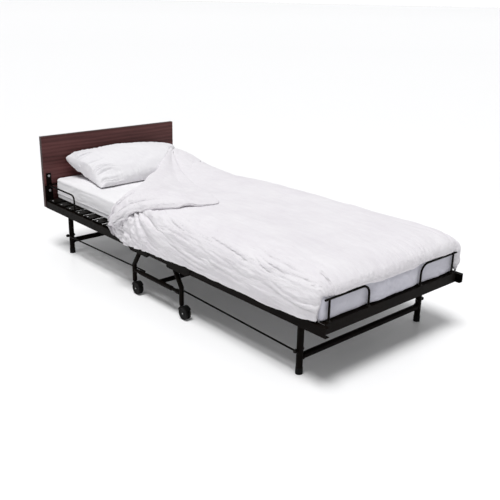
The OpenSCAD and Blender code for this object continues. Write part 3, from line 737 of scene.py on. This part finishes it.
def quilt():
    """The quilt as one closed shell over the mattress, cut in two at the middle of the fold."""
    nu, nv = 250, 400
    a = np.linspace(-FLAT_X - SIDE_RUN, FLAT_X + SIDE_RUN, nu)[:, None]
    head = through(CREASE, a)
    share = np.linspace(0, 1, nv)[None, :]
    b = FLAT_Y - SIDE_RUN + (head - (FLAT_Y - SIDE_RUN)) * share
    a = np.broadcast_to(a, b.shape)
    outer, n = quilt_points(a, b)
    rim = np.minimum.reduce([
        np.minimum(FLAT_X + SIDE_RUN - np.abs(a), b - (FLAT_Y - SIDE_RUN)), np.maximum(head - b, 0),
    ])
    edge_thick, full_thick = 0.009, 0.030
    thick = mix(edge_thick, full_thick, smoothstep(0.0, 0.12, rim))
    inner = outer - n * thick[..., None]
    count = nu * nv
    verts = np.concatenate([outer.reshape(-1, 3), inner.reshape(-1, 3)])
    faces = grid_faces(nu, nv) + grid_faces(nu, nv, count, flip=True)
    # the two surfaces are joined round the edge by a half round of a few rings
    edge = grid_rim(nu, nv)
    rings = [np.array([i * nv + j for i, j in edge])]
    at = [np.array([outer[i, j] for i, j in edge]), np.array([inner[i, j] for i, j in edge])]
    depth = np.linalg.norm(at[1] - at[0], axis=1, keepdims=True)
    into = np.array([outer[min(max(i, 1), nu - 2), min(max(j, 1), nv - 2)] for i, j in edge])
    away = at[0] - into
    away = away / np.maximum(np.linalg.norm(away, axis=1, keepdims=True), 1e-9)
    start = len(verts)
    rounds = 3
    for k in range(1, rounds + 1):
        angle = math.pi * k / (rounds + 1)
        ring = mix(at[0], at[1], (1 - math.cos(angle)) / 2) + away * depth * 0.45 * math.sin(angle)
        verts = np.concatenate([verts, ring])
        rings.append(np.arange(start, start + len(edge)))
        start += len(edge)
    rings.append(rings[0] + count)
    for one, two in zip(rings[:-1], rings[1:]):
        faces += ring_faces(one, two)
    obj = keep_rest(outward(new_object("quilt", verts, faces)))
    low, high = split_at(obj, "quilt_foot_half", "quilt_head_half", FOLD_Y)
    for half_piece in (low, high):
        half_piece.data.materials.append(QUILT)
    follow_fold(low)
    follow_fold(high)
    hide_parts("quilt_foot")
    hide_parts("quilt_head", "quilt_middle")


# the turned-back corner from its near end (0) to the pillow (1): share, across, along
FLAP_HEM = [
    (0.0, -0.485, 0.292), (0.08, -0.455, 0.300), (0.15, -0.420, 0.266), (0.22, -0.392, 0.196),
    (0.29, -0.352, 0.142), (0.37, -0.311, 0.062), (0.46, -0.268, -0.040), (0.53, -0.200, -0.094),
    (0.60, -0.120, -0.090), (0.66, -0.068, 0.010), (0.76, 0.022, 0.240), (0.88, 0.128, 0.500),
    (1.0, 0.258, 0.760),
]
FLAP_CREASE = [
    (0.0, -0.497, 0.272), (0.08, -0.455, 0.306), (0.17, -0.385, 0.296), (0.25, -0.310, 0.294),
    (0.34, -0.245, 0.332), (0.46, -0.165, 0.404), (0.58, -0.085, 0.484), (0.70, 0.006, 0.548),
    (0.85, 0.130, 0.668), (1.0, 0.268, 0.806),
]


def quilt_flap():
    """The corner of the quilt turned back over itself: a full roll, and a hem that lies on the top."""
    ns, nw = 250, 76
    inset = 0.010                                         # how far past the crease the roll ends
    sunk = 0.008                                          # how deep the underside lies in the quilt's top
    s = np.linspace(0, 1, ns)
    hem, crease = (
        np.stack([through([(q[0], q[1 + k]) for q in line], s) for k in range(2)], 1)
        for line in (FLAP_HEM, FLAP_CREASE)
    )
    span = np.maximum(np.linalg.norm(hem - crease, axis=1), 1e-4)
    toward = (hem - crease) / span[:, None]
    side_hem = smoothstep(0.60, 0.46, s)                  # 1 along the hem, 0 along the faded edge
    started = smoothstep(0.0, 0.10, s)
    loft = mix(0.010, 0.030, side_hem * started) * mix(0.6, 1.0, smoothstep(0.0, 0.25, s))
    lift = 0.010 * side_hem * started * smoothstep(-0.25, 0.5, value_noise(s * 21, s * 0, 127))
    hem_t = mix(0.0035, 0.013, side_hem * started)
    roll_top = mix(0.012, 0.030, smoothstep(0.06, 0.35, s)) * mix(1.0, 0.55, smoothstep(0.85, 1.0, s))
    below = mix(0.012, 0.034, smoothstep(0.1, 0.4, s))
    taper = np.minimum(0.048, 0.55 * span)                # the top curves down to the hem over this
    loops_q, loops_n = [], []
    bends = 10
    for k in range(bends):
        angle = -math.pi / 2 + math.pi * k / (bends - 1)
        mid, radius = (roll_top - below) / 2, (roll_top + below) / 2
        loops_q.append(inset - 0.75 * radius * math.cos(angle))
        loops_n.append(mid + radius * math.sin(angle))
    for k in range(1, nw):
        w = k / (nw - 1)
        q = inset + np.maximum(span - inset, 0.002) * w
        body = mix(roll_top, loft, smoothstep(0.0, 0.5, w))
        fall = np.clip((span - q) / taper, 0, 1)
        round_off = np.sqrt(np.clip(fall * (2 - fall), 0, 1))
        loops_q.append(q)
        loops_n.append(mix(hem_t + lift, body, round_off))
    for k in range(1, 6):
        angle = math.pi / 2 - math.pi * k / 6
        loops_q.append(span + hem_t * 0.5 * math.cos(angle))
        loops_n.append(lift + hem_t * (0.5 + 0.5 * math.sin(angle)))
    for w, deep in ((0.985, 0.0), (0.95, 0.25), (0.90, 0.7), (0.7, 1.0), (0.4, 1.0), (0.15, 1.0)):
        loops_q.append(span * w)
        loops_n.append(mix(lift, np.full(ns, -sunk), deep))
    q, n = np.array(loops_q).T, np.array(loops_n).T
    a = crease[:, 0:1] + toward[:, 0:1] * q
    b = crease[:, 1:2] + toward[:, 1:2] * q
    p = quilt_surface(a, b)
    step = 1e-3
    da = quilt_surface(a + step, b) - quilt_surface(a - step, b)
    db = quilt_surface(a, b + step) - quilt_surface(a, b - step)
    normal = np.cross(da, db)
    normal /= np.maximum(np.linalg.norm(normal, axis=2, keepdims=True), 1e-12)
    upper = smoothstep(-0.002, 0.008, n)
    near_end = (smoothstep(0.42, 0.16, s) * smoothstep(0.0, 0.14, s))[:, None]
    share = q / span[:, None]
    # folds that leave the near end and follow the crease, and one that follows the hem
    gathered = pleats(share * 5.5 + 0.5 * s[:, None], s[:, None] * 5, 131)
    crumple = pleats((a + 0.6 * b) / 0.020, (b - 0.6 * a) / 0.075, 137)
    band = bell(0.045, 0.010, span[:, None] - q) * side_hem[:, None]
    relief = quilt_relief(a, b, p) * 0.5 * (1 - near_end)
    to_pillow = smoothstep(0.55, 0.85, s)[:, None]
    gathered = gathered * (1 - to_pillow)
    folds = (0.005 + 0.012 * near_end) * gathered + 0.009 * near_end * crumple - 0.005 * band
    relief = relief + upper * folds
    p = p + normal * (n + relief)[..., None]
    loop = q.shape[1]
    faces = []
    rings = [range(i * loop, (i + 1) * loop) for i in range(ns)]
    for one, two in zip(rings[:-1], rings[1:]):
        faces += ring_faces(one, two)
    faces.append(tuple(rings[0]))
    faces.append(tuple(rings[-1])[::-1])
    obj = outward(new_object("quilt_flap", p.reshape(-1, 3), faces))
    obj.data.materials.append(QUILT)
    keep_rest(obj)
    follow_fold(obj)


def quilt_tuck():
    """The quilt's foot end, tucked down between the mattress and the foot hoops."""
    nx, nz = 190, 34
    half_x, low_z, high_z = GUARD_FOOT_X + 0.004, RAIL_TOP + 0.0045, GUARD_FOOT[1].z + 0.020
    u, v = np.meshgrid(np.linspace(-1, 1, nx), np.linspace(0, 1, nz), indexing="ij")
    x = half_x * np.sign(u) * np.abs(u) ** 0.97
    z = mix(low_z, high_z, v)
    wire_y = GUARD_FOOT[0].y + 0.013                       # just inside the hoops' wires
    free = smoothstep(HOOP_IN, HOOP_IN - 0.05, np.abs(x))
    past_inner = smoothstep(HOOP_IN + 0.006, HOOP_IN + 0.05, np.abs(x))
    inside = past_inner * smoothstep(HOOP_OUT - 0.006, HOOP_OUT - 0.05, np.abs(x))
    full = np.sin(math.pi * np.clip(v * 0.86 + 0.10, 0, 1))
    out = (0.017 * free + 0.004 * inside) * full
    out = out + 0.0022 * fractal(x / 0.05, z / 0.05, 139, 3)
    low_folds = bell(0.272, 0.075, x) * bell(0.268, 0.022, z)
    out = out + 0.008 * low_folds * (0.5 + pleats(z / 0.010 + x / 0.06, x / 0.05, 149))
    slanted = free * pleats((x + 0.6 * z) / 0.022, z / 0.06, 157)
    out = out + 0.004 * slanted
    y = wire_y - out
    back = np.full_like(y, BED_FOOT_Y + 0.025)
    corner = np.clip((np.abs(x) - (half_x - 0.020)) / 0.020, 0, 1)
    y = y + 0.014 * (1 - np.sqrt(1 - 0.98 * corner**2))
    edge = np.minimum(v, 1 - v) * (high_z - low_z)
    y = y + 0.007 * (1 - smoothstep(0.0, 0.008, edge)) ** 2
    front = np.stack([x, y, z], -1).reshape(-1, 3)
    rear = np.stack([x, back, z], -1).reshape(-1, 3)
    obj = outward(new_object("quilt_tuck", np.concatenate([front, rear]), closed_grids(nx, nz)))
    # its cotton is painted darker and bluer than the quilt's, as painted shade
    obj.data.materials.append(SHADED_TUCK_COTTON)
    keep_rest(obj)
    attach(obj, "foot_deck")


# ---------------------------------------------------------------- pillow


def pillow():
    """A bed pillow in a plain case, plumped by a cloth simulation, tilted against the headboard."""
    half_x, half_y = 0.318, 0.176
    nu, nv = 110, 66
    u, v = np.meshgrid(np.linspace(-1, 1, nu), np.linspace(-1, 1, nv), indexing="ij")
    fullness = ((1 - np.abs(u) ** 4.0) * (1 - np.abs(v) ** 3.0)) ** 0.38
    corner = 0.022 * np.abs(u * v) ** 6
    x = half_x * u * (1 - 0.050 * (1 - v**2) - corner)
    y = half_y * v * (1 - 0.060 * (1 - u**2) - 1.3 * corner)
    half_thick = 0.003 + (0.050 + 0.009 * bell(-0.15, 0.45, u)) * fullness
    sides = [np.stack([x, y, sign * half_thick], -1).reshape(-1, 3) for sign in (1, -1)]
    obj = outward(new_object("pillow_body", np.concatenate(sides), closed_grids(nu, nv)))
    inflate(obj, pressure=1.3, frames=18, cap=0.009, shrink=-0.05)
    modifier = obj.modifiers.new("round", "SUBSURF")
    modifier.levels = modifier.render_levels = 1
    apply_modifiers(obj)
    x, y, z = points_of(obj.data).T
    # gathers at the two ends, fainter ones along the sides, and the case's seam a little inside the edge
    to_end = half_x - np.abs(x)
    to_side = half_y - np.abs(y)
    to_edge = np.minimum(to_end, to_side)
    up = np.sign(z)
    gather = smoothstep(0.170, 0.030, to_end) * smoothstep(0.0, 0.026, to_end)
    wrinkles = pleats(y / 0.015 + 0.7 * value_noise(y / 0.05, x / 0.06, 163), x / 0.13, 167)
    z = z + up * 0.0165 * gather * (wrinkles + 0.15)
    side_gather = smoothstep(0.080, 0.02, to_side) * smoothstep(0.0, 0.015, to_side)
    z = z + up * 0.0055 * side_gather * pleats(x / 0.016, y / 0.07, 173)
    z = z - up * 0.0022 * bell(0.013, 0.003, to_edge)
    z = z + 0.0035 * fractal(x * 8, y * 8, 179, 3)
    z = z + up * 0.0018 * pleats(x / 0.07 + y / 0.08, y / 0.12 - x / 0.16, 181)
    # leaned on the headboard, and kept above the mattress and in front of the board
    tilt, middle_lift = math.radians(13.0), 0.051
    yy = y * math.cos(tilt) - z * math.sin(tilt) + PILLOW_Y
    zz = y * math.sin(tilt) + z * math.cos(tilt) + BED_TOP + middle_lift
    zz = zz - 0.020 * smoothstep(0.10, 0.31, x) - 0.015 * smoothstep(-0.08, -0.17, y)
    xx = x + PILLOW_X
    rest, give = BED_TOP + 0.0015, 0.014
    zz = np.where(zz < rest + give, rest + give * np.exp((zz - rest - give) / give), zz)
    wall, give = BOARD_Y - 0.004, 0.015
    yy = np.where(yy > wall - give, wall - give * np.exp(-(yy - wall + give) / give), yy)
    # the quilt lies over the pillow's far end and presses it down
    covered = smoothstep(0.012, -0.030, yy - through(CREASE, xx))
    beyond = np.clip((xx - FLAT_X) / 0.16, 0, 0.98)
    round_off = 0.10 * (1 - (1 - beyond**2) ** 0.43)
    pressed = np.maximum(top_height(xx, yy) - 0.036 - round_off, rest + 0.008 + 0.2 * (zz - rest))
    zz = mix(zz, np.minimum(zz, pressed), covered)
    move_points(obj.data, np.stack([xx, yy, zz], 1))
    obj.data.materials.append(PILLOWCASE)
    keep_rest(obj)
    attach(obj, "head_deck")
    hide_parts("pillow")


def inflate(obj, pressure, frames, cap, shrink=0.0):
    """Runs a closed mesh as cloth under inner pressure, and keeps each point near its start."""
    scene = bpy.context.scene
    start = points_of(obj.data)
    cloth = obj.modifiers.new("cloth", "CLOTH")
    cloth.settings.quality = 5
    cloth.settings.mass = 0.25
    cloth.settings.tension_stiffness = cloth.settings.compression_stiffness = 14
    cloth.settings.shear_stiffness = 8
    cloth.settings.bending_stiffness = 0.6
    cloth.settings.use_pressure = True
    cloth.settings.uniform_pressure_force = pressure
    cloth.settings.shrink_min = shrink
    cloth.settings.effector_weights.gravity = 0
    cloth.collision_settings.use_collision = False
    cloth.collision_settings.use_self_collision = False
    for f in range(1, frames + 1):
        scene.frame_set(f)
    mesh = bpy.data.meshes.new_from_object(obj.evaluated_get(bpy.context.evaluated_depsgraph_get()))
    obj.modifiers.clear()
    moved = points_of(mesh) - start
    size = np.maximum(np.linalg.norm(moved, axis=1, keepdims=True), 1e-9)
    moved = moved * np.minimum(size, cap + 0.25 * np.maximum(size - cap, 0)) / size
    move_points(obj.data, start + moved)
    bpy.data.meshes.remove(mesh)
    scene.frame_set(1)


mattress()
quilt()
quilt_flap()
quilt_tuck()
pillow()

# ---------------------------------------------------------------- small metal details


def slat_centres(node):
    """Where each slat of a node lies along the bed, read from its edges."""
    ys = sorted({round(v.co.y + NODES[node].location.y, 4) for v in NODES[node].data.vertices})
    edges = [[ys[0]]]
    for y in ys[1:]:
        if y - edges[-1][-1] > 0.005:
            edges.append([])
        edges[-1].append(y)
    middles = [(e[0] + e[-1]) / 2 for e in edges]
    return [(middles[k] + middles[k + 1]) / 2 for k in range(0, len(middles) - 1, 2)]


def rivets(node, body):
    """Domed rivet heads where the slats are fixed to the rails."""
    radius, height, sides, rings = 0.0048, 0.0024, 14, 4
    verts, faces = [], []
    for yc in slat_centres(node):
        for xc in (-RIVET_X, RIVET_X):
            start = len(verts)
            verts.append((xc, yc, SLAT_TOP + height))
            for k in range(1, rings + 1):
                angle = math.pi / 2 * k / rings
                for m in range(sides):
                    t = 2 * math.pi * m / sides
                    out, up = radius * math.sin(angle), height * math.cos(angle)
                    verts.append((xc + out * math.cos(t), yc + out * math.sin(t), SLAT_TOP + up))
            for m in range(sides):
                faces.append((start, start + 1 + m, start + 1 + (m + 1) % sides))
            for k in range(rings - 1):
                for m in range(sides):
                    one, two = start + 1 + k * sides, start + 1 + (k + 1) * sides
                    faces.append((one + m, two + m, two + (m + 1) % sides, one + (m + 1) % sides))
            last = start + 1 + (rings - 1) * sides
            faces.append(tuple(last + m for m in range(sides))[::-1])
    obj = outward(new_object(node + "_rivets", verts, faces))
    obj.data.materials.append(ZINC)
    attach(obj, body)


def weld_beads(node, body):
    """A rippled bead of weld round each end of a crossbar."""
    low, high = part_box(node)
    bar_r = (high.z - low.z) / 2
    mid_y, mid_z = (low.y + high.y) / 2, (low.z + high.z) / 2
    round_n, thin_n, bead_r = 64, 8, 0.0021
    leg_r = 0.0125                                        # the bar's ends lie on the legs' middle lines
    verts, faces = [], []
    for xc, inward in ((low.x, 1), (high.x, -1)):
        start = len(verts)
        for k in range(round_n):
            t = 2 * math.pi * k / round_n
            swell = 1 + 0.22 * math.sin(21 * t) + 0.10 * math.sin(8 * t + 1)
            for m in range(thin_n):
                w = 2 * math.pi * m / thin_n
                r = bar_r + bead_r * swell * math.cos(w)
                x = xc + inward * leg_r + bead_r * swell * math.sin(w)
                verts.append((x, mid_y + r * math.cos(t), mid_z + r * math.sin(t)))
        for k in range(round_n):
            one, two = start + k * thin_n, start + (k + 1) % round_n * thin_n
            for m in range(thin_n):
                faces.append((one + m, two + m, two + (m + 1) % thin_n, one + (m + 1) % thin_n))
    obj = outward(new_object(node + "_welds", verts, faces))
    obj.data.materials.append(PAINT)
    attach(obj, body)


rivets("head_slats", "head_deck")
rivets("foot_slats", "foot_deck")
rivets("centre_slats", "centre_frame")
weld_beads("head_crossbar", "head_leg_frame")
weld_beads("foot_crossbar", "foot_leg_frame")

# ---------------------------------------------------------------- floor, light and camera


def floor():
    """A plain pale floor, faintly glossy, that reaches past every view."""
    bm = bmesh.new()
    reach, just_under = 500.0, -0.0006
    bmesh.ops.create_grid(bm, x_segments=8, y_segments=8, size=reach)
    mesh = bpy.data.meshes.new("floor")
    bm.to_mesh(mesh)
    bm.free()
    obj = add_object("floor", mesh)
    obj.location.z = just_under
    m = Finish("floor", (0.96, 0.96, 0.965), 0.24, Specular_IOR_Level=0.16)
    m.shader.inputs["Emission Color"].default_value = (1.0, 1.0, 1.0, 1)
    m.shader.inputs["Emission Strength"].default_value = 0.06
    m.bump(m.noise(m.place(), 900, 2), 0.00002, 0.3)
    obj.data.materials.append(m.material)


def studio():
    """A pale room, brighter low down and behind the bed, and one broad soft sun from above."""
    sun_from = Vector((-0.44, -0.17, 1.7))
    behind_bed = (0.67, 0.74, 0)
    world = bpy.data.worlds.new("studio")
    world.use_nodes = True
    room = Nodes(world.node_tree)
    back = room.tree.nodes["Background"]
    back.inputs["Color"].default_value = (0.985, 0.99, 1.0, 1)
    # the sweep behind the floor is brighter than the room above it
    direction = room.node("ShaderNodeTexCoord").outputs["Generated"]
    upward = room.node("ShaderNodeSeparateXYZ")
    room.link(direction, upward.inputs["Vector"])
    fall = room.span(upward.outputs["Z"], 0.03, 0.16, 1.06, 0.46)
    # and the side of the room that faces the sweep is dimmer
    facing = room.node("ShaderNodeVectorMath", operation="DOT_PRODUCT")
    facing.inputs[1].default_value = behind_bed
    room.link(direction, facing.inputs[0])
    dim = room.span(facing.outputs["Value"], -0.5, 0.3, 0.44, 1.0)
    room.link(room.math("MULTIPLY", fall, dim), back.inputs["Strength"])
    bpy.context.scene.world = world
    sun = bpy.data.lights.new("soft key", "SUN")
    sun.energy, sun.angle = 2.55, math.radians(24)
    add_object("soft key", sun).rotation_euler = (-sun_from).to_track_quat("-Z", "Y").to_euler()


def camera():
    """The main view: from the foot's left, a little above the bed."""
    place = (-2.0197, -2.3926, 1.2717)
    yaw, pitch, roll = (math.radians(a) for a in (42.161, 19.523, 1.289))
    forward = Vector((math.sin(yaw) * math.cos(pitch), math.cos(yaw) * math.cos(pitch), -math.sin(pitch)))
    level = Vector((math.cos(yaw), -math.sin(yaw), 0))
    above = level.cross(forward)
    right = level * math.cos(roll) + above * math.sin(roll)
    up = above * math.cos(roll) - level * math.sin(roll)
    data = bpy.data.cameras.new("camera")
    data.sensor_width, data.lens = 36.0, 52.36
    data.clip_start, data.clip_end = 0.05, 100
    obj = add_object("camera", data)
    axes = Matrix((right, up, -forward)).transposed().to_4x4()
    obj.matrix_world = Matrix.Translation(place) @ axes
    bpy.context.scene.camera = obj


floor()
studio()
camera()
bpy.context.scene.view_settings.view_transform = "Standard"
